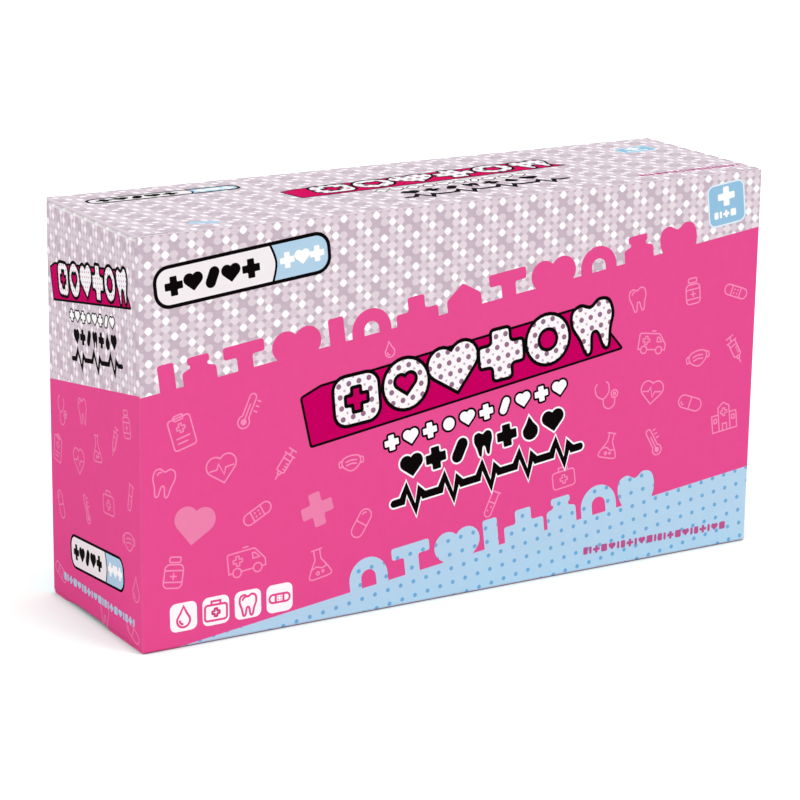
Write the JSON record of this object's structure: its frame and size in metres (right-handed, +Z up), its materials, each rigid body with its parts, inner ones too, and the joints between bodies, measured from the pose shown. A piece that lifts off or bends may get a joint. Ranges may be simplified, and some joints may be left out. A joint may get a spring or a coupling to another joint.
{
  "type": "toy doctor case",
  "caption": "Wide shallow printed carton for a toy doctor's kit, with a hinged tuck-in lid, folding dust flaps and a self-locking bottom.",
  "frame": {"origin": "on the floor under the middle of the carton", "axes": "+X along the front panel, to the right as the front is seen; +Y from the front to the back; +Z up"},
  "size_m": [0.36, 0.102, 0.203],
  "materials": {
    "printed_front": "satin laminated print",
    "printed_back": "satin laminated print",
    "printed_end": "satin laminated print",
    "printed_lid": "satin laminated print",
    "printed_bottom": "satin laminated print",
    "bare_board": "uncoated"
  },
  "bodies": {
    "carton": {"front_panel": "printed_front", "back_panel": "printed_back", "left_end_panel": "printed_end", "right_end_panel": "printed_end", "glue_flap": "bare_board", "bottom_front_flap": "printed_bottom", "bottom_front_web": "printed_bottom", "bottom_back_flap": "printed_bottom", "bottom_back_web": "printed_bottom", "bottom_left_flap": "bare_board", "bottom_right_flap": "bare_board"},
    "lid": {"lid_panel": "printed_lid"},
    "tuck": {"tuck_flap": "printed_lid"},
    "left_dust": {"left_dust_flap": "printed_lid"},
    "right_dust": {"right_dust_flap": "printed_lid"}
  },
  "joints": [
    {"name": "lid_crease", "type": "hinge", "parent": "carton", "child": "lid", "pos_m": [0, 0.05025, 0.20225], "axis": [-1, 0, 0], "range_deg": [0, 118]},
    {"name": "tuck_crease", "type": "hinge", "parent": "lid", "child": "tuck", "pos_m": [0, -0.04845, 0.20225], "axis": [-1, 0, 0], "range_deg": [0, 18]},
    {"name": "left_dust_crease", "type": "hinge", "parent": "carton", "child": "left_dust", "pos_m": [-0.1785, 0, 0.1999], "axis": [0, 1, 0], "range_deg": [0, 85]},
    {"name": "right_dust_crease", "type": "hinge", "parent": "carton", "child": "right_dust", "pos_m": [0.1785, 0, 0.1999], "axis": [0, -1, 0], "range_deg": [0, 85]}
  ],
  "couplings": [
    {"joint": "tuck_crease", "follows": "lid_crease", "ratio": 0.15}
  ]
}
